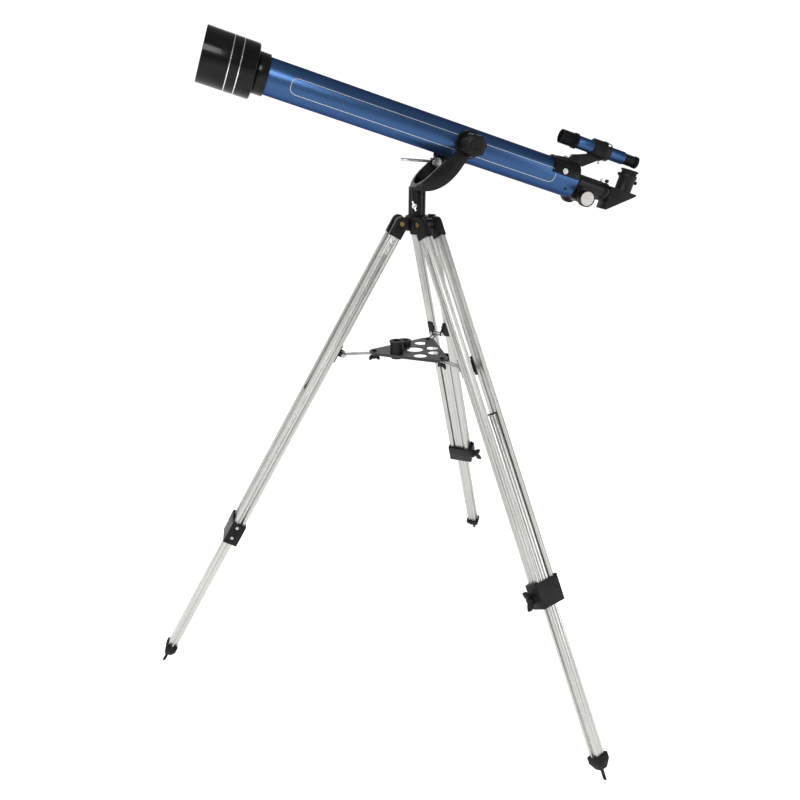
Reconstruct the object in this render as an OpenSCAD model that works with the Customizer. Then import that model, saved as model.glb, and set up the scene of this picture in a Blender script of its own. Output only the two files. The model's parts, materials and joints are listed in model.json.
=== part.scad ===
// Refracting telescope on a folding aluminium tripod.
// Millimetres. Z is up, the floor is z = 0 and the azimuth axis is the Z axis.
// The tube points towards -X and upwards, and the eyepiece end is towards +X.

/* [Tripod] */
// Angle of each leg from the vertical
splay = 28.8; // [27:0.1:30]
// Height of the leg pivots above the floor
pivot_height = 939.4; // [920:0.1:960]
// Width of a leg over its two rails
leg_width = 48; // [46:0.5:52]
// Depth of a rail
leg_depth = 22.5; // [21:0.5:24]
// Distance down the leg to the bottom of the rails
rail_end = 736; // [731:1:740]
// Distance down the leg to the top of the extension
extension_top = 378; // [340:1:420]

/* [Tray] */
// Distance from the centre of the tray to a corner screw
tray_screw_radius = 82; // [78:0.5:86]
// Radius of the free eyepiece holes
tray_hole_radius = 13.5; // [10:0.5:13.5]

/* [Optical tube] */
// Angle of the tube above the horizontal
elevation = 17.4; // [10:0.1:24]
// Outside radius of the main tube
tube_radius = 32; // [30:0.5:32]
// Length of the main tube in front of the altitude axis
tube_front = 377.5; // [360:0.5:400]
// Outside radius of the dew shield
shield_radius = 47.5; // [44:0.5:50]
// Length of the dew shield
shield_length = 92; // [80:1:100]

/* [Hidden] */
// Curves and running fits
$fn = 64;
fit = 0.05;
stem_r = 1.5;
gap = 0.3;
big = 400;

// Leg positions round the azimuth axis
LEG_ANGLES = [176, 296, 56];
pivot_r = 32.5;
leg_length = pivot_height / cos(splay);
half_leg = leg_width / 2;
half_depth = leg_depth / 2;
rail_inner = 13;
rail_wall = 1.6;
rail_top = 14;
tongue_n = 1.5;
tongue_t = 14.9;
CAP_RIVETS = [39, 62];
CLAMP_RIVETS = [702, 727];
rivet_r = 2;

// Tripod head
hub_bottom = pivot_height - 15;
hub_top = pivot_height + 11.8;
column_r = 16.25;
column_top = hub_top + 48.8;
spindle_r = 8;
spindle_z = column_top - 42;
ear_half = 12.3;
pivot_bolt_r = 3;
lock_angle = 245;
lock_z = hub_top + 21;

// Leg fittings
cap_r = 12.3;
cap_end = 28;
clamp_top = 695;
clamp_end = 742;
clamp_half = 28;
screw_l = 720;
screw_n = -2;
extension_end = 1030;
extension_half = 11;
extension_depth = 9.5;
boot_top = 1026;
boot_end = 1052;
peg_r = 3;

// Spreader
bracket_l = 280;
bracket_n = -25;
bracket_r = pivot_r + bracket_l * sin(splay) + bracket_n * cos(splay);
bracket_z = pivot_height - bracket_l * cos(splay) + bracket_n * sin(splay);
hinge_pin_r = 2.5;
arm_half = 7;
slot_half = 3.1;
slot_travel = 37;
tray_bolt_r = 2.5;
tray_gap = 1.2;
tray_under = bracket_z + 1 + tray_gap;
tray_top = tray_under + 2;
tray_edge = 54;
tray_round = 16;
tray_centre_hole_r = 17.5;
seat_hole_r = 11.5;
tall_seat = [-42, -20];
short_seat = [-14, 31];
TRAY_HOLES = [[24, 42], [37.5, 2], [33, -30], [0, -44]];

// Altitude axis, and the yoke that holds it
alt_x = 87.3;
alt_z = column_top + 82.1;
arm_inner = 37.5;
arm_outer = 45;
disc_r = 25.5;
knob_end = 80;
YOKE_STEPS = 14;
ARCH_STEPS = 24;
floor_share = 0.8;
arch_front = -12;
arch_back = 18;
arm_end_r = 13;
stud_r = 4;
rod_pivot_x = 48;
rod_pivot_z = column_top + 46.5;
rod_r = 3;
rod_y = 51.5;
post_s = -80;
post_u = -20;
post_x = alt_x - post_s * cos(elevation) + post_u * sin(elevation);
post_z = alt_z + post_s * sin(elevation) + post_u * cos(elevation);
rod_dx = post_x - rod_pivot_x;
rod_dz = post_z - rod_pivot_z;
rod_length = sqrt(rod_dx * rod_dx + rod_dz * rod_dz);
rod_tilt = atan2(rod_dz, rod_dx);

// Optical tube
tube_rear = -236;
tube_wall = 1.2;
lens_r = tube_radius - 1.6;
lens_s = tube_front + 9;
finder_wall = 1.2;
cell_r = 35.8;
cell_front = tube_front + 20.5;
neck_r = 34;
housing_r = 16.8;
housing_rear = -303;
drawtube_r = 13.9;
barrel_r = 12.25;
collar_rear = housing_rear - 12;
pinion_s = -260;
pinion_u = -23.5;
pitch_r = 4.5;
teeth = 12;
tooth_pitch = 2 * PI * pitch_r / teeth;
rack_line = pinion_u + pitch_r;
shaft_r = 3;
corner_s = collar_rear - 1;
eyepiece_s = corner_s - 34;
lock_s = housing_rear + 5;
finder_u = 72.5;
finder_r = 12.3;
ring_s = -279;

// Which node to draw

// ---------- frames and shared shapes ----------

// Leg frame: x is outwards from the leg, y is sideways and z runs up the leg from the pivot.
module leg_frame(a) {
    rotate([0, 0, a])
        translate([pivot_r, 0, pivot_height])
            rotate([0, -splay, 0])
                children();
}

// Arm frame: the origin is on the bracket bolt and -x runs level towards the tray.
module arm_frame(a) {
    rotate([0, 0, a])
        translate([bracket_r, 0, bracket_z])
            children();
}

// Tube frame: the origin is on the altitude axis, x runs to the front and z away from the ground.
// Its y points the other way from the row's Y.
module tube_frame() {
    translate([alt_x, 0, alt_z])
        rotate([0, 0, 180])
            rotate([0, -elevation, 0])
                children();
}

// Cylinder along x from s0 to s1
module along_x(s0, s1, r) {
    translate([s0, 0, 0])
        rotate([0, 90, 0])
            cylinder(h = s1 - s0, r = r);
}

// Cone along x from s0 to s1
module cone_x(s0, s1, r0, r1) {
    translate([s0, 0, 0])
        rotate([0, 90, 0])
            cylinder(h = s1 - s0, r1 = r0, r2 = r1);
}

// Cylinder along y from y0 to y1 through x, z
module along_y(x, z, y0, y1, r) {
    translate([x, y0, z])
        rotate([-90, 0, 0])
            cylinder(h = y1 - y0, r = r);
}

// Box from one corner to the other
module block(lo, hi) {
    translate(lo)
        cube(hi - lo);
}

// Point on a curve through three guide points
function curve(p0, p1, p2, t) = (1 - t) * (1 - t) * p0 + 2 * t * (1 - t) * p1 + t * t * p2;

// Slim knurled thumb screw that stands on the origin and points up
module thumb_screw(stem, head_r, head_h) {
    cylinder(h = stem, r = stem_r);
    translate([0, 0, stem])
        cylinder(h = head_h, r = head_r);
    translate([0, 0, stem + head_h])
        cylinder(h = 0.8, r1 = head_r, r2 = head_r - 1);
}

// ---------- tripod head ----------

module hub() {
    color("#141414")
        difference() {
            union() {
                translate([0, 0, hub_bottom])
                    cylinder(h = hub_top - hub_bottom, r = 22);
                translate([0, 0, hub_top - 0.01])
                    cylinder(h = column_top - hub_top + 0.01, r = column_r);
                translate([0, 0, hub_top - 0.01])
                    cylinder(h = 3, r1 = 20, r2 = column_r);
                for (a = LEG_ANGLES)
                    rotate([0, 0, a])
                        hub_ear();
                rotate([0, 0, lock_angle])
                    translate([0, 0, lock_z])
                        along_x(0, column_r + 4, 6.5);
            }
            translate([0, 0, spindle_z - 1])
                cylinder(h = big, r = spindle_r + fit);
            for (a = LEG_ANGLES)
                rotate([0, 0, a])
                    along_y(pivot_r, pivot_height, -20, 20, pivot_bolt_r);
            rotate([0, 0, lock_angle])
                translate([0, 0, lock_z])
                    along_x(0, 40, 2.5 + fit);
        }
}

// Ear between the two cheeks of a leg cap
module hub_ear() {
    block([0, -ear_half, pivot_height - 10], [pivot_r, ear_half, pivot_height + 8]);
    along_y(pivot_r, pivot_height, -ear_half, ear_half, 10);
    block([0, -ear_half, pivot_height - 14], [pivot_r - 8, ear_half, pivot_height]);
}

module pivot_bolts() {
    color("#a07c3c")
        for (a = LEG_ANGLES)
            rotate([0, 0, a])
                translate([pivot_r, 0, pivot_height])
                    pivot_bolt();
}

module pivot_bolt() {
    difference() {
        union() {
            along_y(0, 0, -half_leg - 2.4, half_leg + 2.4, pivot_bolt_r);
            for (m = [0, 1])
                mirror([0, m, 0])
                    along_y(0, 0, half_leg + 1.5, half_leg + 3.4, 4);
        }
        for (m = [0, 1])
            mirror([0, m, 0])
                along_y(0, 0, half_leg, half_leg + 6, 1.9);
    }
}

module azimuth_lock() {
    color("#c9ccd0")
        rotate([0, 0, lock_angle])
            translate([0, 0, lock_z]) {
                along_x(spindle_r + 0.4, column_r + 6, 2.5);
                along_x(column_r + 4.4, column_r + 12, 4.6);
                rotate([20, 0, 0])
                    wing_blade(column_r + 8, 10, 7, 2.6);
            }
}

// Two flat wings either side of a screw that runs along x
module wing_blade(s, span, reach, thick) {
    for (m = [0, 1])
        mirror([0, 0, m])
            rotate([90, 0, 0])
                translate([0, 0, -thick / 2])
                    linear_extrude(thick)
                        polygon([
                            [s - 2, 0], [s, span * 0.7], [s + reach * 0.45, span],
                            [s + reach, span * 0.95], [s + reach * 0.8, span * 0.45],
                            [s + reach * 0.4, 0]
                        ]);
}

// ---------- legs ----------

// Section of the rail on the +y side
module rail_section() {
    difference() {
        translate([-half_depth, rail_inner])
            square([leg_depth, half_leg - rail_inner]);
        translate([-half_depth + rail_wall, rail_inner + 3.4])
            square([leg_depth - 2 * rail_wall, half_leg - rail_inner - 3.4 - rail_wall]);
        translate([-2, rail_inner - 1])
            square([4, 3.4]);
        for (x = [-7.2, 6.2])
            translate([x, half_leg - 0.5])
                square([1, 1]);
        for (x = [-half_depth - 0.5, half_depth - 0.5])
            for (y = [rail_inner + 2.6, half_leg - 3.4])
                translate([x, y])
                    square([1, 0.9]);
        for (x = [-1, 1])
            translate([x * half_depth, half_leg])
                rotate(45)
                    square([1.4, 1.4], center = true);
    }
}

module leg_rails(a) {
    color("#c6c8ca")
        leg_frame(a)
            difference() {
                for (m = [0, 1])
                    mirror([0, m, 0])
                        translate([0, 0, -rail_end])
                            linear_extrude(rail_end - rail_top)
                                rail_section();
                for (m = [0, 1])
                    mirror([0, m, 0])
                        for (l = concat(CAP_RIVETS, CLAMP_RIVETS))
                            along_y(rivet_n(l), -l, half_leg - 3, half_leg + 2, rivet_r);
                along_y(screw_n, -screw_l, -half_leg - 2, -rail_inner + 2, 3.2);
            }
}

// The collar's rivets sit a little inside the rails' centre line.
function rivet_n(l) = l > half_leg * 4 ? 1.5 : 0;

module leg_rivets(a) {
    color("#9a9c9e")
        leg_frame(a)
            for (m = [0, 1])
                mirror([0, m, 0]) {
                    for (l = CAP_RIVETS)
                        translate([0, half_leg, -l])
                            rivet(1.6, 0);
                    if (m == 0)
                        for (l = CLAMP_RIVETS)
                            translate([rivet_n(l), half_leg, -l])
                                rivet(1.6, clamp_half - half_leg);
                }
}

// Domed rivet along y with its head standing out by lift
module rivet(shank, lift) {
    along_y(0, 0, -shank, lift, rivet_r);
    translate([0, lift, 0])
        rotate([-90, 0, 0])
            cylinder(h = 0.7, r = 3.4);
    translate([0, lift + 0.7, 0])
        rotate([-90, 0, 0])
            cylinder(h = 0.7, r1 = 3.4, r2 = 1.8);
}

module leg_cap(a) {
    color("#161616")
        leg_frame(a)
            difference() {
                for (m = [0, 1])
                    mirror([0, m, 0])
                        difference() {
                            union() {
                                along_y(0, 0, ear_half + gap, half_leg + 1.2, cap_r);
                                block([-cap_r, ear_half + gap, -cap_end],
                                      [cap_r, half_leg + 1.2, 0]);
                            }
                            block([-half_depth, rail_inner, -cap_end - 1],
                                  [half_depth, half_leg, -rail_top]);
                        }
                along_y(0, 0, -half_leg - 3, half_leg + 3, pivot_bolt_r + fit);
            }
}

module leg_clamp(a) {
    color("#161616")
        leg_frame(a)
            difference() {
                union() {
                    block([-15, -clamp_half, -clamp_end], [14.5, clamp_half, -clamp_top]);
                    for (m = [0, 1])
                        mirror([0, m, 0])
                            block([9, half_leg, -clamp_top - 1], [14.5, clamp_half, -clamp_top + 3]);
                    along_y(screw_n, -screw_l, -clamp_half - 8, -clamp_half + 1, 10);
                    block([screw_n - 10, -clamp_half - 4, -screw_l],
                          [14.5, -clamp_half + 1, -clamp_top]);
                }
                for (m = [0, 1])
                    mirror([0, m, 0])
                        block([-half_depth, rail_inner, -rail_end],
                              [half_depth, half_leg, -clamp_top + 5]);
                block([-half_depth, -rail_inner - 1, -rail_end],
                      [half_depth, rail_inner + 1, -clamp_top + 5]);
                block([-extension_depth - 0.6, -extension_half - 0.6, -clamp_end - 1],
                      [extension_depth + 0.6, extension_half + 0.6, -clamp_top + 5]);
                block([-tongue_n - 0.5, -tongue_t - 0.6, -clamp_end - 1],
                      [tongue_n + 0.5, tongue_t + 0.6, -clamp_top + 5]);
                along_y(screw_n, -screw_l, -clamp_half - 12, -half_leg + 2, 2.5 + fit);
                for (l = CLAMP_RIVETS)
                    along_y(rivet_n(l), -l, half_leg - 1, clamp_half + 1, rivet_r);
            }
}

module leg_clamp_screw(a) {
    color("#1c1c1c")
        leg_frame(a)
            translate([screw_n, 0, -screw_l]) {
                along_y(0, 0, -clamp_half - 14, -tongue_t - 0.4, 2.5);
                along_y(0, 0, -clamp_half - 17, -clamp_half - 9, 6);
                rotate([0, 0, -90])
                    wing_blade(clamp_half + 11, 18, 13, 5);
            }
}

module leg_extension(a) {
    color("#bfc1c3")
        leg_frame(a)
            translate([0, 0, -extension_end])
                linear_extrude(extension_end - extension_top)
                    extension_section();
}

module extension_section() {
    difference() {
        union() {
            translate([-extension_depth, -extension_half])
                square([2 * extension_depth, 2 * extension_half]);
            translate([-tongue_n, -tongue_t])
                square([2 * tongue_n, 2 * tongue_t]);
        }
        translate([-extension_depth + 1.6, -extension_half + 1.6])
            square([2 * extension_depth - 3.2, 2 * extension_half - 3.2]);
        for (x = [-1, 1])
            for (y = [-1, 1])
                translate([x * extension_depth, y * extension_half])
                    rotate(45)
                        square([2.2, 2.2], center = true);
        for (x = [-extension_depth - 0.5, extension_depth - 0.5])
            for (y = [-4.2, 3.2])
                translate([x, y])
                    square([1, 1]);
    }
}

module leg_slider(a) {
    color("#161616")
        leg_frame(a) {
            block([-10.6, -12.5, -extension_top], [10.6, 12.5, -extension_top + 2.6]);
            block([-tongue_n, -tongue_t, -extension_top], [tongue_n, tongue_t, -extension_top + 2.6]);
        }
}

module leg_foot(a) {
    color("#1a1a1a")
        difference() {
            leg_frame(a) {
                difference() {
                    union() {
                        block([-11.5, -15.6, -boot_top - 12], [11.5, 15.6, -boot_top]);
                        hull() {
                            block([-11.5, -15.6, -boot_top - 12], [11.5, 15.6, -boot_top - 11]);
                            block([-7, -8, -boot_end], [7, 8, -boot_end + 1]);
                        }
                    }
                    block([-extension_depth, -tongue_t, -extension_end],
                          [extension_depth, tongue_t, -boot_top + 1]);
                }
                translate([0, 0, -leg_length - 10])
                    cylinder(h = leg_length + 10 - boot_end + 2, r = peg_r);
            }
            block([-big * 2, -big * 2, -60], [big * 2, big * 2, 0]);
        }
}

// ---------- spreader ----------

module leg_bracket(a) {
    color("#161616")
        leg_frame(a)
            difference() {
                for (m = [0, 1])
                    mirror([0, m, 0]) {
                        block([-half_depth - 2, 10.2, -298], [-half_depth, half_leg - 1, -261]);
                        block([-half_depth - 4, 8, -292], [-half_depth - 2, 12.2, -268]);
                        block([bracket_n, 8, -bracket_l - 5.5], [-half_depth - 2, 10.2, -bracket_l + 5.5]);
                        along_y(bracket_n, -bracket_l, 8, 10.2, 5.5);
                    }
                along_y(bracket_n, -bracket_l, -14, 14, hinge_pin_r);
            }
}

module leg_bracket_bolt(a) {
    color("#b9bcc0")
        leg_frame(a)
            translate([bracket_n, 0, -bracket_l]) {
                along_y(0, 0, -12.5, 14.5, hinge_pin_r);
                along_y(0, 0, -13.4, -10.2, 4.6);
                translate([0, 10.2, 0])
                    rotate([-90, 0, 0])
                        cylinder(h = 3.4, r = 5, $fn = 6);
            }
}

module leg_arm(a) {
    tip = tray_screw_radius - 8 - bracket_r;
    slot_start = tray_screw_radius - bracket_r - 0.4;
    color("#8d9094")
        arm_frame(a)
            difference() {
                union() {
                    along_y(0, 0, -7.6, 7.6, 4.4);
                    block([tip + arm_half, -arm_half, -1], [0, arm_half, 1]);
                    translate([tip + arm_half, 0, -1])
                        cylinder(h = 2, r = arm_half);
                }
                along_y(0, 0, -9, 9, hinge_pin_r + fit);
                translate([slot_start, 0, -2])
                    cylinder(h = 4, r = slot_half);
                translate([slot_start + slot_travel, 0, -2])
                    cylinder(h = 4, r = slot_half);
                block([slot_start, -slot_half, -2], [slot_start + slot_travel, slot_half, 2]);
            }
}

// Outline of the tray, a triangle with rounded corners
CORNER_STEPS = 12;
module tray_outline(rim) {
    reach = 2 * (tray_edge - tray_round);
    r = tray_round - rim;
    polygon([
        for (a = LEG_ANGLES)
            for (i = [0 : CORNER_STEPS])
                let (b = a - 60 + 120 * i / CORNER_STEPS)
                    [reach * cos(a) + r * cos(b), reach * sin(a) + r * sin(b)]
    ]);
}

module tray() {
    color("#2a2b2d")
        difference() {
            union() {
                translate([0, 0, tray_under])
                    linear_extrude(tray_top - tray_under)
                        tray_outline(0);
                translate([0, 0, tray_under - 3.6])
                    linear_extrude(4)
                        difference() {
                            tray_outline(0);
                            tray_outline(1.4);
                        }
            }
            for (a = LEG_ANGLES)
                rotate([0, 0, a]) {
                    block([60, -10.5, tray_under - 5], [110, 10.5, tray_under]);
                    translate([tray_screw_radius, 0, tray_under - 1])
                        cylinder(h = 10, r = tray_bolt_r);
                }
            tray_hole([0, 0], tray_centre_hole_r);
            for (hole = TRAY_HOLES)
                tray_hole(hole, tray_hole_radius);
            for (seat = [tall_seat, short_seat])
                tray_hole(seat, seat_hole_r);
        }
}

module tray_hole(place, r) {
    translate([place[0], place[1], tray_under - 1])
        cylinder(h = 10, r = r);
}

module tray_bolts() {
    color("#1b1b1b")
        for (a = LEG_ANGLES)
            rotate([0, 0, a])
                translate([tray_screw_radius, 0, 0])
                    tray_bolt();
}

// Round-headed bolt through the tray with a wing nut under the arm
module tray_bolt() {
    nut_top = bracket_z - 1 - tray_gap;
    translate([0, 0, nut_top - 10])
        cylinder(h = tray_top - nut_top + 11, r = tray_bolt_r);
    translate([0, 0, tray_top])
        cylinder(h = 1.6, r = 4.8);
    translate([0, 0, tray_top + 1.6])
        cylinder(h = 1.4, r1 = 4.8, r2 = 2.6);
    translate([0, 0, nut_top - 6])
        cylinder(h = 6, r = 5.2);
    translate([0, 0, nut_top - 2])
        rotate([0, 90, 0])
            wing_blade(0, 11, 11, 3);
}

// Eyepiece that stands in a tray hole with its barrel down
module spare_eyepiece(seat, body_h, body_r, flare_r, barrel_end) {
    translate([seat[0], seat[1], tray_top])
        difference() {
            union() {
                translate([0, 0, barrel_end])
                    cylinder(h = 0.1 - barrel_end, r = seat_hole_r - 0.4);
                cylinder(h = body_h, r = body_r);
                translate([0, 0, body_h])
                    cylinder(h = 3, r1 = body_r, r2 = flare_r);
                translate([0, 0, body_h + 3])
                    cylinder(h = 2.5, r = flare_r);
            }
            translate([0, 0, body_h + 1])
                cylinder(h = 6, r = body_r - 5);
            translate([0, 0, barrel_end - 1])
                cylinder(h = 5, r = seat_hole_r - 1.6);
        }
}

module spare_eyepiece_tall() {
    color("#1d1d1d")
        spare_eyepiece(tall_seat, 20.5, 13, 14.6, -9.5);
}

module spare_eyepiece_short() {
    color("#1d1d1d")
        spare_eyepiece(short_seat, 6, 12.8, 14.2, -7);
}

// ---------- yoke ----------

// Lower and upper edges of a yoke arm, seen from the side
function low_edge(t) = curve([2, column_top + gap], [46, column_top - 0.6], [78, column_top + 50], t);
function top_edge(t) = curve([arch_front, column_top + 2], [13, column_top + 33], [62, column_top + 70], t);

module yoke_profile() {
    polygon(concat(
        [[arch_front, column_top + gap]],
        [for (i = [0 : YOKE_STEPS]) low_edge(i / YOKE_STEPS)],
        [[alt_x + 10.2, alt_z - 7.6], [alt_x - 10.2, alt_z + 7.6]],
        [for (i = [YOKE_STEPS : -1 : 0]) top_edge(i / YOKE_STEPS)]
    ));
    translate([alt_x, alt_z])
        circle(r = arm_end_r);
}

// Floor that joins the arms and follows their lower edge
module yoke_floor_profile() {
    polygon(concat(
        [[-14, column_top + gap]],
        [for (i = [0 : YOKE_STEPS]) low_edge(floor_share * i / YOKE_STEPS)],
        [for (i = [YOKE_STEPS : -1 : 0]) low_edge(floor_share * i / YOKE_STEPS) + [-4, 5]],
        [[-14, column_top + 5]]
    ));
}

// Plan of the yoke, a long arch whose tip is in front of the column
module yoke_plan(inset) {
    reach = arch_back - arch_front - inset;
    half = arm_outer - inset;
    polygon(concat(
        [[alt_x + 30, -half]],
        [for (i = [0 : ARCH_STEPS])
            let (b = -90 - 180 * i / ARCH_STEPS)
                [arch_back + reach * cos(b), half * sin(b)]],
        [[alt_x + 30, half]]
    ));
}

// Solid with the given plan between the yoke's lowest and highest points
module yoke_solid(inset) {
    translate([0, 0, column_top - 5])
        linear_extrude(alt_z - column_top + 40)
            yoke_plan(inset);
}

module yoke() {
    color("#1a1a1a")
        difference() {
            union() {
                difference() {
                    intersection() {
                        yoke_solid(0);
                        translate([0, arm_outer + 5, 0])
                            rotate([90, 0, 0])
                                linear_extrude(2 * arm_outer + 10)
                                    yoke_profile();
                    }
                    yoke_solid(arm_outer - arm_inner);
                }
                intersection() {
                    yoke_solid(1);
                    translate([0, arm_outer + 5, 0])
                        rotate([90, 0, 0])
                            linear_extrude(2 * arm_outer + 10)
                                yoke_floor_profile();
                }
                translate([0, 0, spindle_z])
                    cylinder(h = column_top + gap + 2 - spindle_z, r = spindle_r);
                translate([0, 0, column_top + gap])
                    cylinder(h = 5, r = column_r);
            }
            along_y(alt_x, alt_z, -60, 60, stud_r + fit);
            along_y(rod_pivot_x, rod_pivot_z, 0, 60, 3 + fit);
        }
}

module altitude_knob(side) {
    color("#181818")
        translate([alt_x, 0, alt_z])
            mirror([0, side, 0])
                difference() {
                    union() {
                        along_y(0, 0, arm_outer + gap, 50, 12);
                        along_y(0, 0, 49, knob_end, 18);
                        for (k = [0 : 6])
                            rotate([0, 360 * k / 7, 0])
                                translate([15.6, 50.2, 0])
                                    rotate([-90, 0, 0])
                                        cylinder(h = knob_end - 51.8, r1 = 6.4, r2 = 5);
                        translate([0, knob_end, 0])
                            rotate([-90, 0, 0])
                                cylinder(h = 2, r1 = 18, r2 = 14);
                    }
                    along_y(0, 0, 40, 66, stud_r + fit);
                    along_y(0, 0, knob_end + 0.6, knob_end + 5, 8);
                }
}

module altitude_knob_near() {
    altitude_knob(1);
}

module altitude_knob_far() {
    altitude_knob(0);
}

// Frame on the rod: x runs along the rod from the block to the tube's post
module rod_frame() {
    translate([rod_pivot_x, rod_y, rod_pivot_z])
        rotate([0, -rod_tilt, 0])
            children();
}

module rod_block() {
    color("#202020")
        difference() {
            union() {
                rod_frame()
                    block([-8, -5.9, -6.5], [8, 5.9, 6.5]);
                along_y(rod_pivot_x, rod_pivot_z, 34.8, 47, 3);
                along_y(rod_pivot_x, rod_pivot_z, 34.6, 37.2, 6.4);
            }
            rod_frame()
                along_x(-10, 10, rod_r + fit);
            rod_frame()
                cylinder(h = 8, r = stem_r + fit);
            along_y(rod_pivot_x, rod_pivot_z, 34, 35.6, 2.6);
        }
}

module rod_lock() {
    color("#202020")
        rod_frame()
            translate([0, 0, rod_r + 0.4])
                thumb_screw(6, 4, 7);
}

module motion_rod() {
    color("#c9ccd0")
        rod_frame()
            difference() {
                union() {
                    along_x(-68, rod_length - 5.5, rod_r);
                    along_y(rod_length, 0, -2.6, 2.6, 7.4);
                }
                along_y(rod_length, 0, -5, 5, 5.2);
            }
}

// ---------- optical tube ----------

module main_tube() {
    color("#2b4f8f")
        tube_frame()
            difference() {
                along_x(tube_rear, tube_front, tube_radius);
                along_x(tube_rear - 1, tube_front + 1, tube_radius - tube_wall);
            }
}

module lens_cell() {
    color("#151515")
        tube_frame()
            difference() {
                union() {
                    along_x(tube_front - 14, tube_front + 1, tube_radius - tube_wall - fit);
                    along_x(tube_front, cell_front - 1.5, cell_r);
                    cone_x(cell_front - 1.5, cell_front, cell_r, cell_r - 1);
                    along_x(cell_front, cell_front + 10, neck_r);
                }
                along_x(tube_front - 15, lens_s, tube_radius - 4);
                along_x(lens_s - 0.1, cell_front + 11, lens_r);
            }
}

// Thick convex glass held in the cell
module objective() {
    color("#9fc4d8", 0.4)
        tube_frame()
            translate([lens_s, 0, 0])
                intersection() {
                    along_x(0, 8, lens_r - fit);
                    translate([-111, 0, 0])
                        sphere(r = 119, $fn = 128);
                }
}

module dew_shield() {
    color("#131313")
        tube_frame()
            difference() {
                union() {
                    along_x(cell_front + 2, cell_front + shield_length, shield_radius);
                    cone_x(cell_front, cell_front + 2, shield_radius - 2, shield_radius);
                }
                along_x(cell_front + 3, cell_front + shield_length + 1, shield_radius - 2.2);
                along_x(cell_front - 1, cell_front + 4, neck_r + fit);
            }
}

// Friction discs with their studs, and the bar on the far side that carries the rod's post
module trunnions() {
    color("#171717")
        tube_frame()
            difference() {
                union() {
                    for (m = [0, 1])
                        mirror([0, m, 0]) {
                            along_y(0, 0, 19, arm_inner - gap - 3.2, disc_r);
                            along_y(0, 0, 33, arm_inner - gap, 12.5);
                            disc_rim();
                            along_y(0, 0, 30, 65, stud_r);
                        }
                    block([post_s - 8, -tube_radius - 3.5, post_u - 7], [-5, -20, post_u + 7]);
                    along_y(post_s, post_u, -tube_radius - 12, -25, 6);
                    along_y(post_s, post_u, -rod_y - 5, -30, 2.8);
                }
                along_x(-100, 40, tube_radius + fit);
            }
}

// Rim and ribs on the outer face of a friction disc
module disc_rim() {
    difference() {
        along_y(0, 0, 33, arm_inner - gap - 0.5, disc_r);
        along_y(0, 0, 32, arm_inner + 1, disc_r - 3);
    }
    for (k = [0 : 4])
        rotate([0, 72 * k, 0])
            block([10, 33, -1.2], [disc_r - 1, arm_inner - gap - 1, 1.2]);
}

module focuser() {
    color("#161616")
        tube_frame()
            difference() {
                union() {
                    along_x(tube_rear, tube_rear + 14, tube_radius - tube_wall - fit);
                    cone_x(tube_rear - 2, tube_rear, tube_radius - 2, tube_radius);
                    cone_x(tube_rear - 12, tube_rear - 2, housing_r, tube_radius - 5);
                    along_x(housing_rear, tube_rear, housing_r);
                    block([housing_rear + 2, -6, 0], [tube_rear - 8, 6, housing_r + 1]);
                    block([pinion_s - 5, -16, pinion_u - 6], [pinion_s + 12, 16, -6]);
                    along_y(pinion_s, pinion_u, -17, 17, 10);
                    for (side = [-1, 1])
                        block([housing_rear, side * 15 - 3.5, -2.5], [tube_rear - 1, side * 15 + 3.5, 3]);
                }
                along_x(housing_rear - 1, tube_rear + 20, drawtube_r + fit);
                along_x(tube_rear - 0.5, tube_rear + 20, tube_radius - 4);
                block([housing_rear - 1, -4.4, rack_line - 2.4], [tube_rear + 20, 4.4, 0]);
                along_y(pinion_s, pinion_u, -4.6, 4.6, pitch_r + 1.6);
                along_y(pinion_s, pinion_u, -20, 20, shaft_r + fit);
                translate([lock_s, 0, 8])
                    cylinder(h = 30, r = stem_r + fit);
            }
}

// Pinion, its shaft and the two focus wheels
module focus_knob() {
    color("#181818")
        tube_frame()
            translate([pinion_s, 0, pinion_u]) {
                along_y(0, 0, -38, 38, shaft_r);
                for (m = [0, 1])
                    mirror([0, m, 0])
                        difference() {
                            union() {
                                along_y(0, 0, 31, 33, 12);
                                along_y(0, 0, 33, 46, 15.6);
                                along_y(0, 0, 20.3, 32, 6);
                            }
                            along_y(0, 0, 45.2, 50, 13.8);
                        }
                rotate([90, 0, 0])
                    linear_extrude(8, center = true)
                        pinion_section();
            }
}

module pinion_section() {
    circle(r = pitch_r - 1);
    for (k = [0 : teeth - 1])
        rotate(90 + 360 / teeth * k)
            polygon([
                [pitch_r - 1.4, -0.55], [pitch_r + 0.7, -0.25],
                [pitch_r + 0.7, 0.25], [pitch_r - 1.4, 0.55]
            ]);
}

// Sliding tube with the rack under it
module drawtube() {
    rack_front = -204;
    rack_rear = housing_rear + 1;
    count = floor((rack_front - pinion_s) / tooth_pitch);
    back = floor((pinion_s - rack_rear) / tooth_pitch) - 1;
    color("#242424")
        tube_frame()
            difference() {
                union() {
                    along_x(collar_rear, -200, drawtube_r);
                    along_x(collar_rear, housing_rear - 1.5, 17);
                    along_x(collar_rear + 2, collar_rear + 8, 18);
                    translate([collar_rear + 5, 0, 16])
                        thumb_screw(3, 4, 5);
                    block([rack_rear, -3.8, rack_line + 0.9], [rack_front, 3.8, -barrel_r - 0.6]);
                    for (k = [-back : count - 1])
                        translate([pinion_s + (k + 0.5) * tooth_pitch, 3.8, rack_line])
                            rotate([90, 0, 0])
                                linear_extrude(7.6)
                                    polygon([[-0.55, 1], [-0.2, -0.75], [0.2, -0.75], [0.55, 1]]);
                }
                along_x(collar_rear - 1, -199, barrel_r + fit);
            }
}

module focus_lock() {
    color("#c9ccd0")
        tube_frame()
            translate([lock_s, 0, drawtube_r + 0.4])
                thumb_screw(housing_r - drawtube_r + 2.5, 2.4, 4);
}

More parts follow.
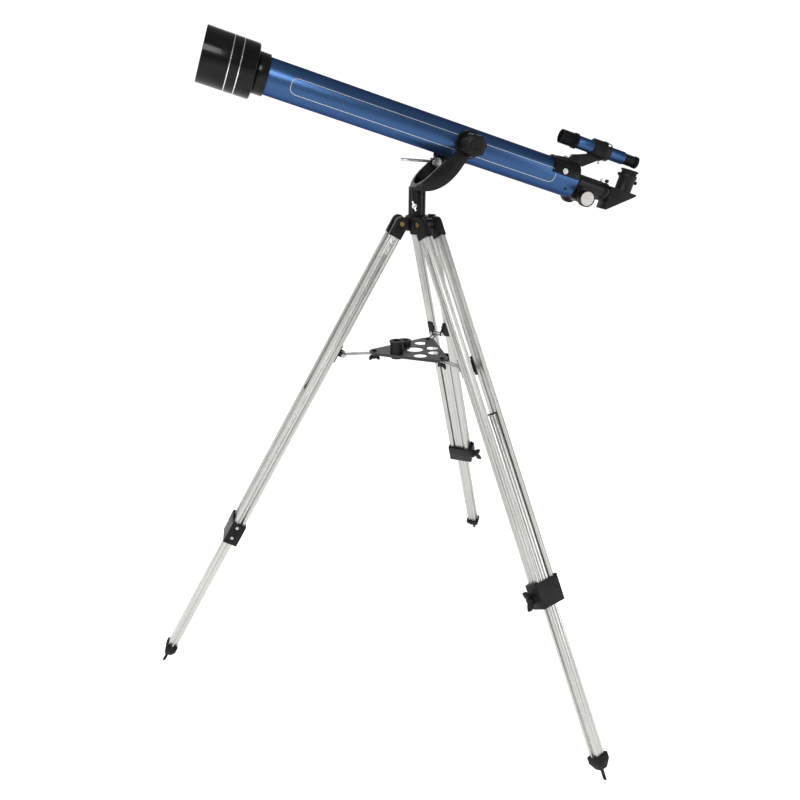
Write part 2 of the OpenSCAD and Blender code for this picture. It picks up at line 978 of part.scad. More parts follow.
// Right-angle prism housing with its barrel and eyepiece socket
module diagonal() {
    color("#171717")
        tube_frame()
            difference() {
                union() {
                    along_x(corner_s - 1, corner_s + 24, barrel_r);
                    translate([0, 17, 0])
                        rotate([90, 0, 0])
                            linear_extrude(34)
                                polygon([
                                    [corner_s, -31], [corner_s, 14.5], [corner_s - 58, 14.5],
                                    [corner_s - 58, 11], [corner_s - 5, -31]
                                ]);
                    translate([eyepiece_s, 0, 14])
                        cylinder(h = 26, r = 16.6);
                    translate([eyepiece_s, 0, 39.6])
                        cylinder(h = 7.4, r = 18.2);
                    translate([eyepiece_s - 16, 0, 36])
                        rotate([0, -90, 0])
                            thumb_screw(3.4, 3.4, 4);
                    translate([eyepiece_s + 17, 0, 43.6])
                        rotate([0, 90, 0])
                            thumb_screw(2, 2.8, 3.4);
                }
                along_x(corner_s - 2, corner_s + 25, barrel_r - 1.6);
                translate([eyepiece_s, 0, 6])
                    cylinder(h = 60, r = barrel_r + fit);
                translate([eyepiece_s, 0, 0])
                    cylinder(h = 10, r = barrel_r - 1.6);
                along_x(eyepiece_s - 6, corner_s, barrel_r - 1.6);
            }
}

module eyepiece() {
    color("#1b1b1b")
        tube_frame()
            translate([eyepiece_s, 0, 0])
                difference() {
                    union() {
                        translate([0, 0, 22])
                            cylinder(h = 26, r = barrel_r);
                        translate([0, 0, 47.3])
                            cylinder(h = 5, r = 15.4);
                        translate([0, 0, 52])
                            cylinder(h = 2.4, r1 = 15.4, r2 = 18.2);
                        translate([0, 0, 54.4])
                            cylinder(h = 1.6, r = 18.2);
                    }
                    translate([0, 0, 20])
                        cylinder(h = 28, r = barrel_r - 1.6);
                    translate([0, 0, 47])
                        cylinder(h = 10, r1 = 4, r2 = 13);
                }
}

// ---------- finder ----------

module finder_bracket() {
    color("#151515")
        tube_frame()
            difference() {
                union() {
                    along_x(-236, -180, tube_radius + 4);
                    translate([0, 6.5, 0])
                        rotate([90, 0, 0])
                            linear_extrude(13)
                                polygon([
                                    [-239, 27], [-236, 30], [-186, 30], [-191, 37], [-206, 38.5],
                                    [-217, 40.5], [-220.5, 48], [-232, 51.5], [-253, 59.5],
                                    [-253, 64], [-290, 64], [-290, 61.5], [-270, 50], [-240, 27.5]
                                ]);
                    translate([0, 0, finder_u])
                        along_x(-290, -253, finder_r + 5);
                    translate([0, 0, finder_u])
                        along_x(-282, -276, finder_r + 6);
                }
                along_x(-300, -100, tube_radius + fit);
                block([-240, -60, -60], [-170, 60, 5]);
                translate([0, 0, finder_u])
                    along_x(-300, -240, finder_r + finder_wall);
                for (k = [0 : 2])
                    translate([ring_s, 0, finder_u])
                        rotate([120 * k + 60, 0, 0])
                            cylinder(h = 30, r = stem_r);
            }
}

module finder_tube() {
    color("#2b4f8f")
        tube_frame()
            translate([0, 0, finder_u])
                difference() {
                    union() {
                        along_x(-325, -212, finder_r);
                        along_x(-219, -183, finder_r + 1);
                        along_x(-218, -211, finder_r + 2.6);
                        cone_x(-326.5, -325, finder_r - 1.2, finder_r);
                        along_x(-346, -326, 10.8);
                        along_x(-351, -345, 9.6);
                        along_x(-357, -350, 11.6);
                        along_x(-258, -253.6, finder_r + finder_wall - fit);
                    }
                    along_x(-214, -170, finder_r - 0.6);
                    along_x(-340, -206, finder_r - 4);
                    along_x(-358, -339, 4);
                    cone_x(-358, -352, 9.4, 4);
                }
}

// Three chrome screws that aim the finder in its ring
module finder_screws() {
    color("#c9ccd0")
        tube_frame()
            for (k = [0 : 2])
                translate([ring_s, 0, finder_u])
                    rotate([120 * k + 60, 0, 0])
                        translate([0, 0, finder_r])
                            thumb_screw(8, 3, 4.6);
}

hub();
pivot_bolts();
azimuth_lock();
leg_rails(LEG_ANGLES[0]);  // leg_a_rails
leg_cap(LEG_ANGLES[0]);  // leg_a_cap
leg_rivets(LEG_ANGLES[0]);  // leg_a_rivets
leg_clamp(LEG_ANGLES[0]);  // leg_a_clamp
leg_clamp_screw(LEG_ANGLES[0]);  // leg_a_clamp_screw
leg_extension(LEG_ANGLES[0]);  // leg_a_extension
leg_slider(LEG_ANGLES[0]);  // leg_a_slider
leg_foot(LEG_ANGLES[0]);  // leg_a_foot
leg_bracket(LEG_ANGLES[0]);  // leg_a_bracket
leg_bracket_bolt(LEG_ANGLES[0]);  // leg_a_bracket_bolt
leg_arm(LEG_ANGLES[0]);  // leg_a_arm
leg_rails(LEG_ANGLES[1]);  // leg_b_rails
leg_cap(LEG_ANGLES[1]);  // leg_b_cap
leg_rivets(LEG_ANGLES[1]);  // leg_b_rivets
leg_clamp(LEG_ANGLES[1]);  // leg_b_clamp
leg_clamp_screw(LEG_ANGLES[1]);  // leg_b_clamp_screw
leg_extension(LEG_ANGLES[1]);  // leg_b_extension
leg_slider(LEG_ANGLES[1]);  // leg_b_slider
leg_foot(LEG_ANGLES[1]);  // leg_b_foot
leg_bracket(LEG_ANGLES[1]);  // leg_b_bracket
leg_bracket_bolt(LEG_ANGLES[1]);  // leg_b_bracket_bolt
leg_arm(LEG_ANGLES[1]);  // leg_b_arm
leg_rails(LEG_ANGLES[2]);  // leg_c_rails
leg_cap(LEG_ANGLES[2]);  // leg_c_cap
leg_rivets(LEG_ANGLES[2]);  // leg_c_rivets
leg_clamp(LEG_ANGLES[2]);  // leg_c_clamp
leg_clamp_screw(LEG_ANGLES[2]);  // leg_c_clamp_screw
leg_extension(LEG_ANGLES[2]);  // leg_c_extension
leg_slider(LEG_ANGLES[2]);  // leg_c_slider
leg_foot(LEG_ANGLES[2]);  // leg_c_foot
leg_bracket(LEG_ANGLES[2]);  // leg_c_bracket
leg_bracket_bolt(LEG_ANGLES[2]);  // leg_c_bracket_bolt
leg_arm(LEG_ANGLES[2]);  // leg_c_arm
tray();
tray_bolts();
spare_eyepiece_tall();
spare_eyepiece_short();
yoke();
altitude_knob_near();
altitude_knob_far();
motion_rod();
rod_block();
rod_lock();
main_tube();
lens_cell();
objective();
dew_shield();
trunnions();
focuser();
focus_knob();
drawtube();
diagonal();
eyepiece();
finder_bracket();
finder_tube();
finder_screws();
focus_lock();
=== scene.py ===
import json
import math

import bmesh
import bpy
from mathutils import Matrix, Vector


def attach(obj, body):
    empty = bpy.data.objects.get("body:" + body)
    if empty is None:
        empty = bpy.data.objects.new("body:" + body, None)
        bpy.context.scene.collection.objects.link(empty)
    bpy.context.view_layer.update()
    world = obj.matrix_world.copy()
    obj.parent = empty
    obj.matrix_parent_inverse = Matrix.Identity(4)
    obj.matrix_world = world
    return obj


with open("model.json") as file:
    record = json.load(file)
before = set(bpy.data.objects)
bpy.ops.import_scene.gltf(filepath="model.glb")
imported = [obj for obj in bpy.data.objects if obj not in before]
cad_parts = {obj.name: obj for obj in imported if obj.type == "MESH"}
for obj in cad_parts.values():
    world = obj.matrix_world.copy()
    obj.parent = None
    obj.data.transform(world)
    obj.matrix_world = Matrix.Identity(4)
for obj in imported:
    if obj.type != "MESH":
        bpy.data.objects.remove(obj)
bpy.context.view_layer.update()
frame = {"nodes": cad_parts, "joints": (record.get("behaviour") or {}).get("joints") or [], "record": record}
NODES = frame["nodes"]
RECORD = frame["record"]
JOINT = {j["name"]: j for j in frame["joints"]}
MM = 0.001

# The tube's own frame: the altitude axis, forwards, away from the ground, to the camera's side
ALT = Vector(JOINT["altitude"]["pos_m"])
FORWARD = -Vector(JOINT["drawtube_slide"]["axis"]).normalized()
UP = Vector(JOINT["focus_lock_turn"]["axis"]).normalized()
SIDE = UP.cross(FORWARD)
TUBE_R = 32.0
SADDLE_R = 35.9
FINDER_U = 72.5
FINDER_BLUE = (-325.2, -219.2)


# ---------------------------------------------------------------- node helpers

class Shader:
    """A node material with a Principled shader and short ways to add procedural detail."""

    def __init__(self, name):
        self.mat = bpy.data.materials.new(name)
        self.mat.use_nodes = True
        self.tree = self.mat.node_tree
        self.bsdf = self.tree.nodes["Principled BSDF"]
        coords = self.tree.nodes.new("ShaderNodeTexCoord")
        self.coords = coords.outputs["Object"]

    def node(self, kind, **settings):
        made = self.tree.nodes.new(kind)
        for key, value in settings.items():
            setattr(made, key, value)
        return made

    def link(self, a, b):
        self.tree.links.new(a, b)

    def set(self, **values):
        for key, value in values.items():
            self.bsdf.inputs[key.replace("_", " ")].default_value = value
        return self

    def along(self, direction, stretch):
        """Coordinates turned so that direction is x, then scaled so that detail is long in x."""
        turn = self.node("ShaderNodeMapping")
        turn.inputs["Rotation"].default_value = (
            Vector(direction).rotation_difference(Vector((1, 0, 0))).to_euler()
        )
        size = self.node("ShaderNodeMapping")
        size.inputs["Scale"].default_value = stretch
        self.link(self.coords, turn.inputs["Vector"])
        self.link(turn.outputs["Vector"], size.inputs["Vector"])
        return size.outputs["Vector"]

    def noise(self, scale, detail=3.0, rough=0.55, vector=None):
        made = self.node("ShaderNodeTexNoise")
        made.inputs["Scale"].default_value = scale
        made.inputs["Detail"].default_value = detail
        made.inputs["Roughness"].default_value = rough
        self.link(vector or self.coords, made.inputs["Vector"])
        return made.outputs["Fac"]

    def ramp(self, value, low, high, start=0.3, end=0.7):
        made = self.node("ShaderNodeMapRange")
        made.inputs["From Min"].default_value = start
        made.inputs["From Max"].default_value = end
        made.inputs["To Min"].default_value = low
        made.inputs["To Max"].default_value = high
        self.link(value, made.inputs["Value"])
        return made.outputs["Result"]

    def blend(self, value, dark, light, start=0.3, end=0.7):
        made = self.node("ShaderNodeMix", data_type="RGBA")
        made.inputs["A"].default_value = (*dark, 1)
        made.inputs["B"].default_value = (*light, 1)
        self.link(self.ramp(value, 0, 1, start, end), made.inputs["Factor"])
        return made.outputs["Result"]

    def color(self, socket):
        self.link(socket, self.bsdf.inputs["Base Color"])

    def roughness(self, socket):
        self.link(socket, self.bsdf.inputs["Roughness"])

    def bump(self, *layers):
        """Each layer is (height socket, strength, distance in metres)."""
        last = None
        for height, strength, distance in layers:
            made = self.node("ShaderNodeBump")
            made.inputs["Strength"].default_value = strength
            made.inputs["Distance"].default_value = distance
            self.link(height, made.inputs["Height"])
            if last:
                self.link(last, made.inputs["Normal"])
            last = made.outputs["Normal"]
        self.link(last, self.bsdf.inputs["Normal"])


def black_paint():
    s = Shader("gloss_black_paint")
    s.set(Coat_Weight=0.10, Coat_Roughness=0.12, Specular_IOR_Level=0.12)
    s.color(s.blend(s.noise(45), (0.003, 0.003, 0.0035), (0.008, 0.008, 0.0085)))
    s.roughness(s.ramp(s.noise(160), 0.26, 0.44))
    s.bump((s.noise(900, 2), 0.25, 0.00008), (s.noise(60, 2), 0.15, 0.0003))
    return s.mat


def black_plastic():
    s = Shader("moulded_black_plastic")
    s.set(Specular_IOR_Level=0.14)
    s.color(s.blend(s.noise(35), (0.003, 0.003, 0.0035), (0.009, 0.009, 0.0095)))
    s.roughness(s.ramp(s.noise(220), 0.34, 0.52))
    s.bump((s.noise(1600, 2), 0.3, 0.00006), (s.noise(90, 3), 0.12, 0.0002))
    return s.mat


def black_rubber():
    s = Shader("black_rubber")
    s.set(Specular_IOR_Level=0.14)
    s.color(s.blend(s.noise(50), (0.004, 0.004, 0.004), (0.011, 0.0105, 0.010)))
    s.roughness(s.ramp(s.noise(180), 0.58, 0.78))
    s.bump((s.noise(1300, 3), 0.4, 0.0001))
    return s.mat


def hood_black():
    s = Shader("gloss_black_hood")
    s.set(Coat_Weight=0.12, Coat_Roughness=0.08, Specular_IOR_Level=0.10)
    s.color(s.blend(s.noise(25), (0.002, 0.002, 0.0025), (0.006, 0.006, 0.0065)))
    s.roughness(s.ramp(s.noise(130), 0.14, 0.26))
    s.bump((s.noise(500, 2), 0.12, 0.00006), (s.noise(22, 1), 0.1, 0.0004))
    return s.mat


def drawn_aluminium(name, direction):
    s = Shader(name)
    s.set(Metallic=0.92, Specular_IOR_Level=0.3)
    lines = s.noise(1.0, 4, 0.6, s.along(direction, (3, 900, 900)))
    broad = s.noise(1.0, 2, 0.5, s.along(direction, (4, 90, 90)))
    dust = s.noise(14, 4)
    tone = s.blend(lines, (0.40, 0.40, 0.385), (0.56, 0.56, 0.54), 0.25, 0.75)
    mix = s.node("ShaderNodeMix", data_type="RGBA", blend_type="MULTIPLY")
    mix.inputs["Factor"].default_value = 0.5
    s.link(tone, mix.inputs["A"])
    s.link(s.blend(dust, (0.88, 0.88, 0.87), (1, 1, 1)), mix.inputs["B"])
    s.color(mix.outputs["Result"])
    s.roughness(s.ramp(broad, 0.27, 0.36))
    s.bump((lines, 0.12, 0.00005), (broad, 0.05, 0.0001))
    return s.mat


def plated_steel(name, direction):
    s = Shader(name)
    s.set(Metallic=1.0)
    lines = s.noise(1.0, 3, 0.5, s.along(direction, (12, 500, 500)))
    s.color(s.blend(lines, (0.28, 0.29, 0.31), (0.46, 0.47, 0.49)))
    s.roughness(s.ramp(s.noise(70), 0.3, 0.48))
    s.bump((lines, 0.2, 0.00006), (s.noise(220), 0.1, 0.0001))
    return s.mat


def chrome():
    s = Shader("bright_chrome")
    s.set(Metallic=1.0)
    s.color(s.blend(s.noise(120), (0.62, 0.62, 0.63), (0.80, 0.80, 0.81)))
    s.roughness(s.ramp(s.noise(260), 0.14, 0.28))
    s.bump((s.noise(700, 2), 0.12, 0.00005))
    return s.mat


def rivet_metal():
    s = Shader("plain_rivet_metal")
    s.set(Metallic=1.0)
    s.color(s.blend(s.noise(300), (0.30, 0.30, 0.30), (0.52, 0.52, 0.51)))
    s.roughness(s.ramp(s.noise(500), 0.3, 0.5))
    s.bump((s.noise(1200, 3), 0.3, 0.0001))
    return s.mat


def brass():
    s = Shader("dull_brass")
    s.set(Metallic=1.0)
    s.color(s.blend(s.noise(260), (0.16, 0.10, 0.04), (0.36, 0.24, 0.10)))
    s.roughness(s.ramp(s.noise(420), 0.32, 0.5))
    s.bump((s.noise(900, 3), 0.2, 0.00008))
    return s.mat


def tray_paint():
    s = Shader("charcoal_tray_paint")
    s.set(Coat_Weight=0.1, Coat_Roughness=0.3, Specular_IOR_Level=0.3)
    s.color(s.blend(s.noise(60, 4), (0.022, 0.023, 0.025), (0.040, 0.041, 0.044)))
    s.roughness(s.ramp(s.noise(240), 0.38, 0.55))
    s.bump((s.noise(1100, 3), 0.35, 0.00012), (s.noise(45, 2), 0.15, 0.0004))
    return s.mat


def tube_blue(name="metallic_blue_lacquer", band=None):
    """Blue lacquer. With a band (axis, low, high), it is black outside that stretch."""
    s = Shader(name)
    s.set(Metallic=0.8, Specular_Tint=(0.05, 0.08, 0.18, 1), Specular_IOR_Level=0.2)
    flake = s.node("ShaderNodeTexVoronoi", feature="F1")
    flake.inputs["Scale"].default_value = 2600
    s.link(s.coords, flake.inputs["Vector"])
    tone = s.blend(flake.outputs["Color"], (0.030, 0.068, 0.160), (0.044, 0.096, 0.215), 0.1, 0.9)
    mix = s.node("ShaderNodeMix", data_type="RGBA", blend_type="MULTIPLY")
    mix.inputs["Factor"].default_value = 0.6
    s.link(tone, mix.inputs["A"])
    s.link(s.blend(s.noise(9, 3), (0.80, 0.82, 0.86), (1, 1, 1)), mix.inputs["B"])
    paint = mix.outputs["Result"]
    if band:
        axis, low, high = band
        along = s.node("ShaderNodeVectorMath", operation="DOT_PRODUCT")
        along.inputs[1].default_value = axis
        s.link(s.coords, along.inputs[0])
        middle = s.node("ShaderNodeMath", operation="COMPARE")
        middle.inputs[1].default_value = (low + high) / 2
        middle.inputs[2].default_value = (high - low) / 2
        s.link(along.outputs["Value"], middle.inputs[0])
        split = s.node("ShaderNodeMix", data_type="RGBA")
        s.link(middle.outputs["Value"], split.inputs["Factor"])
        s.link(s.blend(s.noise(35), (0.003, 0.003, 0.0035), (0.009, 0.009, 0.0095)), split.inputs["A"])
        s.link(paint, split.inputs["B"])
        paint = split.outputs["Result"]
        s.link(s.ramp(middle.outputs["Value"], 0, 0.8, 0, 1), s.bsdf.inputs["Metallic"])
    s.color(paint)
    s.roughness(s.ramp(s.noise(30), 0.29, 0.36))
    s.bump((flake.outputs["Distance"], 0.10, 0.00005), (s.noise(35, 2), 0.10, 0.0002))
    return s.mat


def lens_glass():
    s = Shader("coated_glass")
    s.set(Transmission_Weight=0.92, IOR=1.5, Coat_Weight=0.3)
    s.color(s.blend(s.noise(40), (0.62, 0.78, 0.86), (0.80, 0.90, 0.95)))
    s.roughness(s.ramp(s.noise(90), 0.02, 0.06))
    s.bump((s.noise(30, 1), 0.03, 0.0001))
    return s.mat


def silver_paint():
    s = Shader("silver_line_paint")
    s.set(Metallic=0.6)
    s.color(s.blend(s.noise(220), (0.42, 0.41, 0.38), (0.58, 0.56, 0.52)))
    s.roughness(s.ramp(s.noise(340), 0.34, 0.5))
    s.bump((s.noise(1500, 2), 0.2, 0.00003))
    return s.mat


def spun_silver(centre, axis):
    """A turned face: fine rings round its own axis."""
    s = Shader("spun_silver_face")
    s.set(Metallic=0.85)
    place = s.node("ShaderNodeVectorMath", operation="SUBTRACT")
    place.inputs[1].default_value = centre
    s.link(s.coords, place.inputs[0])
    reach = s.node("ShaderNodeVectorMath", operation="LENGTH")
    s.link(place.outputs["Vector"], reach.inputs[0])
    rings = s.node("ShaderNodeMath", operation="SINE")
    many = s.node("ShaderNodeMath", operation="MULTIPLY")
    many.inputs[1].default_value = 9000
    s.link(reach.outputs["Value"], many.inputs[0])
    s.link(many.outputs["Value"], rings.inputs[0])
    s.color(s.blend(s.noise(150), (0.46, 0.44, 0.43), (0.62, 0.60, 0.59)))
    s.roughness(s.ramp(s.noise(260), 0.28, 0.42))
    s.bump((rings.outputs["Value"], 0.25, 0.00004))
    return s.mat


def pale_floor():
    s = Shader("pale_studio_floor")
    s.color(s.blend(s.noise(3), (0.90, 0.90, 0.90), (0.92, 0.92, 0.92)))
    s.set(Emission_Color=(1, 1, 1, 1), Emission_Strength=0.70, Specular_IOR_Level=0.1)
    s.roughness(s.ramp(s.noise(20), 0.6, 0.8))
    s.bump((s.noise(60, 3), 0.05, 0.0003))
    return s.mat


# ---------------------------------------------------------------- dressing the CAD nodes

def leg_direction(letter):
    return Vector(JOINT["extension_%s_slide" % letter]["axis"])


MATS = {
    "cast_black": black_paint(),
    "plastic_black": black_plastic(),
    "rubber_black": black_rubber(),
    "rivet_steel": rivet_metal(),
    "brass": brass(),
    "chrome": chrome(),
    "tray_grey": tray_paint(),
    "tube_blue": tube_blue(),
    "shield_black": hood_black(),
    "glass": lens_glass(),
}
SLOT = {p["node"]: p["material_slot"] for p in RECORD["subparts"]}
BEVEL = {
    "hub": 0.8, "yoke": 1.0, "tray": 0.3, "main_tube": 0.3, "dew_shield": 0.7, "lens_cell": 0.4,
    "focuser": 0.7, "diagonal": 0.6, "trunnions": 0.6, "altitude_knob_near": 1.0,
    "altitude_knob_far": 1.0, "focus_knob": 0.5, "finder_bracket": 0.6, "objective": 0,
}
LEG_BEVEL = {"rails": 0.4, "extension": 0.5, "cap": 0.8, "clamp": 1.0, "clamp_screw": 0.7,
             "foot": 0.8, "bracket": 0.3, "arm": 0.3, "slider": 0.4}


def smooth_by_angle(obj, degrees):
    mesh = obj.data
    if mesh.has_custom_normals:
        mesh.attributes.remove(mesh.attributes["custom_normal"])
    for face in mesh.polygons:
        face.use_smooth = True
    mesh.set_sharp_from_angle(angle=math.radians(degrees))


def dress(name, obj):
    part = name[6:] if name.startswith("leg_") else name
    slot = SLOT[name]
    if slot == "aluminium":
        mat = drawn_aluminium("drawn_aluminium_" + name, leg_direction(name[4]))
    elif name == "finder_tube":
        pivot = ALT.dot(FORWARD)
        mat = tube_blue("finder_lacquer", (FORWARD, pivot + FINDER_BLUE[0] * MM, pivot + FINDER_BLUE[1] * MM))
    elif slot == "steel_arm":
        level = leg_direction(name[4])
        mat = plated_steel("plated_steel_" + name, (level.x, level.y, 0))
    else:
        mat = MATS[slot]
    obj.data.materials.clear()
    obj.data.materials.append(mat)
    width = LEG_BEVEL.get(part, 0.25) if name.startswith("leg_") else BEVEL.get(name, 0.35)
    weld = obj.modifiers.new("weld", "WELD")
    weld.merge_threshold = 1e-6
    if width:
        bevel = obj.modifiers.new("edges", "BEVEL")
        bevel.width = width * MM
        bevel.segments = 2
        bevel.limit_method = "ANGLE"
        bevel.angle_limit = math.radians(40)
        bevel.harden_normals = False
        bevel.miter_outer = "MITER_ARC"
        bevel.use_clamp_overlap = True
    smooth_by_angle(obj, 32)


for node_name, node_obj in NODES.items():
    dress(node_name, node_obj)


# ---------------------------------------------------------------- new pieces

def tube_point(s, side, u):
    """Point in the tube's own frame, in millimetres: forwards, to the camera's side, up."""
    return ALT + (FORWARD * s + SIDE * side + UP * u) * MM


def add_mesh(name, verts, faces, mat, body, smooth=35, bevel=0.0):
    mesh = bpy.data.meshes.new(name)
    mesh.from_pydata([tuple(v) for v in verts], [], faces)
    mesh.validate()
    bm = bmesh.new()
    bm.from_mesh(mesh)
    bmesh.ops.recalc_face_normals(bm, faces=bm.faces)
    bm.to_mesh(mesh)
    bm.free()
    for face in mesh.polygons:
        face.use_smooth = True
    mesh.set_sharp_from_angle(angle=math.radians(smooth))
    mesh.materials.append(mat)
    obj = bpy.data.objects.new(name, mesh)
    bpy.context.scene.collection.objects.link(obj)
    if bevel:
        mod = obj.modifiers.new("edges", "BEVEL")
        mod.width = bevel * MM
        mod.segments = 2
        mod.limit_method = "ANGLE"
        mod.angle_limit = math.radians(40)
    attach(obj, body)
    return obj


def lathe(name, profile, origin, axis, mat, body, steps=96, closed=True, bevel=0.0):
    """Turns (distance along axis, radius) points in millimetres about axis through origin."""
    axis = Vector(axis).normalized()
    across = axis.orthogonal().normalized()
    other = axis.cross(across)
    verts, faces = [], []
    n = len(profile)
    for k in range(steps):
        a = 2 * math.pi * k / steps
        out = across * math.cos(a) + other * math.sin(a)
        for d, r in profile:
            verts.append(origin + (axis * d + out * r) * MM)
    rows = n if closed else n - 1
    for k in range(steps):
        for i in range(rows):
            j = (i + 1) % n
            m = (k + 1) % steps
            faces.append((k * n + i, k * n + j, m * n + j, m * n + i))
    return add_mesh(name, verts, faces, mat, body, bevel=bevel)


def disc_profile(start, end, radius, dome=0.0):
    """Closed solid disc as a lathe profile, with a slight dome on its far face."""
    tiny = 0.02
    return [(start, tiny), (start, radius), (end, radius), (end + dome * 0.6, radius * 0.6),
            (end + dome, tiny)]


def tube_strip(name, path, width, radius, mat, body):
    """A thin painted line that lies on the tube: path is (distance along, angle in degrees)."""
    verts, faces = [], []
    n = len(path)
    for i, (s, a) in enumerate(path):
        s0, a0 = path[(i - 1) % n]
        s1, a1 = path[(i + 1) % n]
        ds = s1 - s0
        dc = math.radians(a1 - a0) * radius
        length = math.hypot(ds, dc) or 1
        ns, nc = -dc / length, ds / length
        for lift in (0.0, 0.12):
            for side in (-0.5, 0.5):
                ss = s + ns * width * side
                aa = math.radians(a) + nc * width * side / radius
                r = radius + lift
                verts.append(tube_point(ss, r * math.cos(aa), r * math.sin(aa)))
    for i in range(n):
        a, b = 4 * i, 4 * ((i + 1) % n)
        faces.append((a + 2, a + 3, b + 3, b + 2))
        faces.append((a, a + 2, b + 2, b))
        faces.append((a + 1, b + 1, b + 3, a + 3))
        faces.append((a, b, b + 1, a + 1))
    return add_mesh(name, verts, faces, mat, body)


def racetrack(s_front, s_rear, low, high, radius, corner):
    """Rounded rectangle on the tube's surface, as (distance along, angle) points."""
    per_mm = math.degrees(1 / radius)
    ca = corner * per_mm
    path = []
    corners = [
        (s_front - corner, high - ca, 0), (s_rear + corner, high - ca, 90),
        (s_rear + corner, low + ca, 180), (s_front - corner, low + ca, 270),
    ]
    for cs, cang, start in corners:
        for k in range(13):
            t = math.radians(start + 90 * k / 12)
            path.append((cs + corner * math.cos(t), cang + ca * math.sin(t)))
    full = []
    for i, p in enumerate(path):
        q = path[(i + 1) % len(path)]
        full.append(p)
        count = int(math.hypot(q[0] - p[0], (q[1] - p[1]) / per_mm) / 2)
        for k in range(1, count):
            f = k / count
            full.append((p[0] + (q[0] - p[0]) * f, p[1] + (q[1] - p[1]) * f))
    return full


silver = silver_paint()
for side_name, low_angle, high_angle in (("near", -30, 20), ("far", 160, 210)):
    track = racetrack(336, -186, low_angle, high_angle, TUBE_R, 11)
    tube_strip("pinstripe_" + side_name, track, 0.9, TUBE_R + 0.02, silver, "tube")

# Bright bands round the dew shield
for band, s in (("front", 443), ("rear", 426)):
    lathe("shield_band_" + band, [(-0.7, 47.0), (-0.7, 47.62), (0.7, 47.62), (0.7, 47.0)],
          tube_point(s, 0, 0), FORWARD, MATS["chrome"], "tube")

# Turned metal faces on the focus wheels
pin = Vector(JOINT["focus_knob_turn"]["pos_m"])
for label, sign in (("near", 1), ("far", -1)):
    face_centre = pin + SIDE * sign * 45.25 * MM
    lathe("focus_face_" + label, disc_profile(0, 0.45, 13.5, 0.15), face_centre, SIDE * sign,
          spun_silver(face_centre, SIDE), "focus_knob", bevel=0.0)

# Glass of the finder and of the two eye ends
lathe("finder_lens", disc_profile(0, 1.2, 11.6, 1.6), tube_point(-213.9, 0, FINDER_U), FORWARD,
      MATS["glass"], "tube")
lathe("eye_lens", disc_profile(0, 1.0, 5.4, 0.6), tube_point(-350, 0, 48.6), UP,
      MATS["glass"], "diagonal")
lathe("finder_eye_lens", disc_profile(0, 0.6, 3.9, 0.4), tube_point(-351.2, 0, FINDER_U), -FORWARD,
      MATS["glass"], "tube")


def hexagon_bolt(name, origin, axis, across, height, mat, body, washer=0.0):
    """Hexagon head on a round washer, standing on origin."""
    axis = Vector(axis).normalized()
    if washer:
        lathe(name + "_washer", [(0, 1.0), (0, washer), (0.9, washer), (0.9, 1.0)], origin, axis,
              mat, body, 48, bevel=0.2)
        origin = origin + axis * 0.9 * MM
    one = axis.orthogonal().normalized()
    two = axis.cross(one)
    verts, faces = [], []
    for d in (0, height):
        for k in range(6):
            a = math.pi / 3 * k
            verts.append(origin + (axis * d + (one * math.cos(a) + two * math.sin(a)) * across) * MM)
    faces.append(tuple(range(5, -1, -1)))
    faces.append(tuple(range(6, 12)))
    for k in range(6):
        m = (k + 1) % 6
        faces.append((k, m, 6 + m, 6 + k))
    return add_mesh(name, verts, faces, mat, body, bevel=0.3)


# Chrome nuts on the finder's foot: one on top and one on each side
FOOT_NUTS = (("top", -208, 90, 38.6), ("near", -202, 19, SADDLE_R), ("far", -202, 161, SADDLE_R))
for label, s, angle, r in FOOT_NUTS:
    a = math.radians(angle)
    out = SIDE * math.cos(a) + UP * math.sin(a)
    hexagon_bolt("finder_nut_" + label, tube_point(s, r * math.cos(a), r * math.sin(a)), out,
                 3.6, 2.2, MATS["chrome"], "tube", 5.6)

# Chrome bolt on the inner face of the far arm, where the rod's block pivots
rod_joint = JOINT["rod_block_swing"]
rod_centre = Vector(rod_joint["pos_m"])
inner = Vector((rod_centre.x, 0.0373, rod_centre.z))
hexagon_bolt("rod_pivot_bolt", inner, (0, -1, 0), 7.6, 2.8, MATS["chrome"], "rod_block", 9.0)

# Small black screws that hold the focuser in the tube
for label, angle in (("near", -35), ("far", 215)):
    a = math.radians(angle)
    out = SIDE * math.cos(a) + UP * math.sin(a)
    lathe("tube_screw_" + label, disc_profile(0, 0.9, 2.6, 0.5),
          tube_point(-218, TUBE_R * math.cos(a), TUBE_R * math.sin(a)), out,
          MATS["plastic_black"], "tube", 32)


# ---------------------------------------------------------------- stage, light and camera

def floor_plane():
    mesh = bpy.data.meshes.new("floor")
    half = 14.0
    corners = [(-half, -half, 0), (half, -half, 0), (half, half, 0), (-half, half, 0)]
    mesh.from_pydata(corners, [], [(0, 1, 2, 3)])
    mesh.materials.append(pale_floor())
    obj = bpy.data.objects.new("studio_floor", mesh)
    bpy.context.scene.collection.objects.link(obj)


def area_light(name, place, target, size, power, tone=(1, 1, 1)):
    lamp = bpy.data.lights.new(name, "AREA")
    lamp.shape = "RECTANGLE"
    lamp.size, lamp.size_y = size
    lamp.energy = power
    lamp.color = tone
    obj = bpy.data.objects.new(name, lamp)
    obj.location = place
    direction = Vector(target) - Vector(place)
    obj.rotation_euler = direction.to_track_quat("-Z", "Y").to_euler()
    bpy.context.scene.collection.objects.link(obj)


floor_plane()
area_light("key_light", (-1.3, -2.6, 2.9), (0, 0, 0.9), (2.0, 1.2), 95, (1.0, 0.99, 0.97))
area_light("fill_light", (2.4, -1.7, 1.3), (0, 0, 0.8), (1.0, 2.0), 22)
area_light("left_light", (-2.6, 0.2, 1.6), (0, 0, 0.8), (1.0, 2.0), 16)

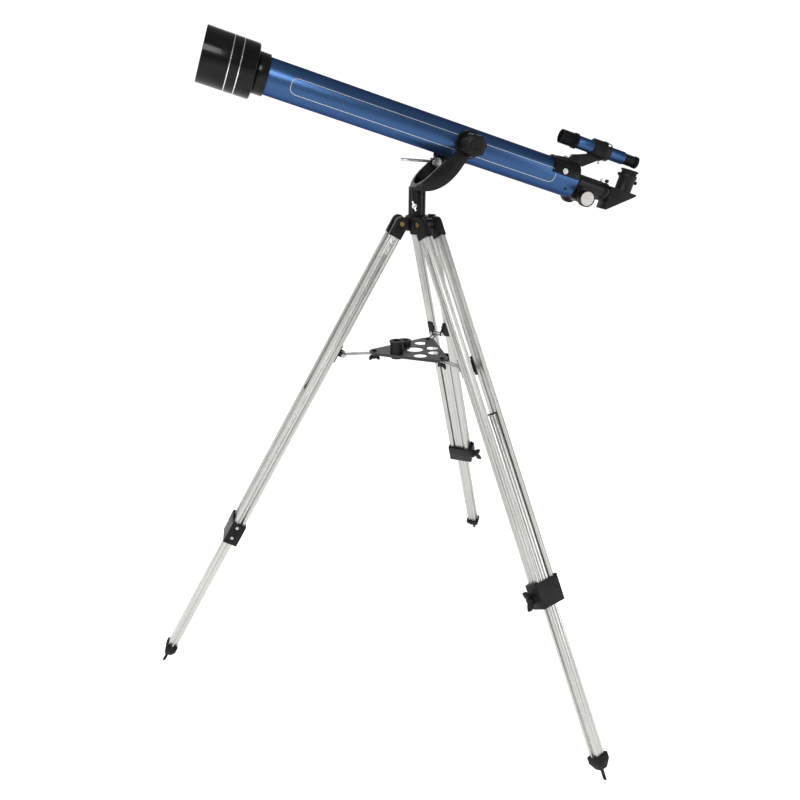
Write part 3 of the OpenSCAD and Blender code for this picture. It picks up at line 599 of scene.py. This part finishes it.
# The room is white where the camera looks and dimmer behind it, so dark parts stay dark
HEADING, PITCH, ROLL = (math.radians(v) for v in (76.03, -20.08, 0.61))
world = bpy.data.worlds.new("studio_white")
world.use_nodes = True
room = world.node_tree
way = room.nodes.new("ShaderNodeTexCoord")
ahead = room.nodes.new("ShaderNodeVectorMath")
ahead.operation = "DOT_PRODUCT"
ahead.inputs[1].default_value = (
    math.cos(HEADING) * math.cos(PITCH), math.sin(HEADING) * math.cos(PITCH), math.sin(PITCH)
)
room.links.new(way.outputs["Generated"], ahead.inputs[0])
fade = room.nodes.new("ShaderNodeMapRange")
fade.interpolation_type = "SMOOTHSTEP"
fade.inputs["From Min"].default_value = 0.5
fade.inputs["From Max"].default_value = 0.8
fade.inputs["To Min"].default_value = 0.34
fade.inputs["To Max"].default_value = 1.08
room.links.new(ahead.outputs["Value"], fade.inputs["Value"])
background = room.nodes["Background"]
background.inputs["Color"].default_value = (1.0, 1.0, 1.0, 1)
room.links.new(fade.outputs["Result"], background.inputs["Strength"])
bpy.context.scene.world = world

CAMERA_PLACE = Vector((-0.4061, -1.5369, 1.1579))
camera_data = bpy.data.cameras.new("camera")
camera_data.sensor_width = 36
camera_data.lens = 36.93
camera_data.shift_x = -0.0034
camera_data.clip_start = 0.05
camera_data.clip_end = 60
camera = bpy.data.objects.new("camera", camera_data)
look = Vector((math.cos(HEADING) * math.cos(PITCH), math.sin(HEADING) * math.cos(PITCH), math.sin(PITCH)))
flat_right = Vector((math.sin(HEADING), -math.cos(HEADING), 0))
flat_up = flat_right.cross(look)
right = flat_right * math.cos(ROLL) + flat_up * math.sin(ROLL)
up = flat_up * math.cos(ROLL) - flat_right * math.sin(ROLL)
camera.matrix_world = Matrix((
    (right.x, up.x, -look.x, CAMERA_PLACE.x),
    (right.y, up.y, -look.y, CAMERA_PLACE.y),
    (right.z, up.z, -look.z, CAMERA_PLACE.z),
    (0, 0, 0, 1),
))
bpy.context.scene.collection.objects.link(camera)
bpy.context.scene.camera = camera
bpy.context.scene.view_settings.view_transform = "Standard"
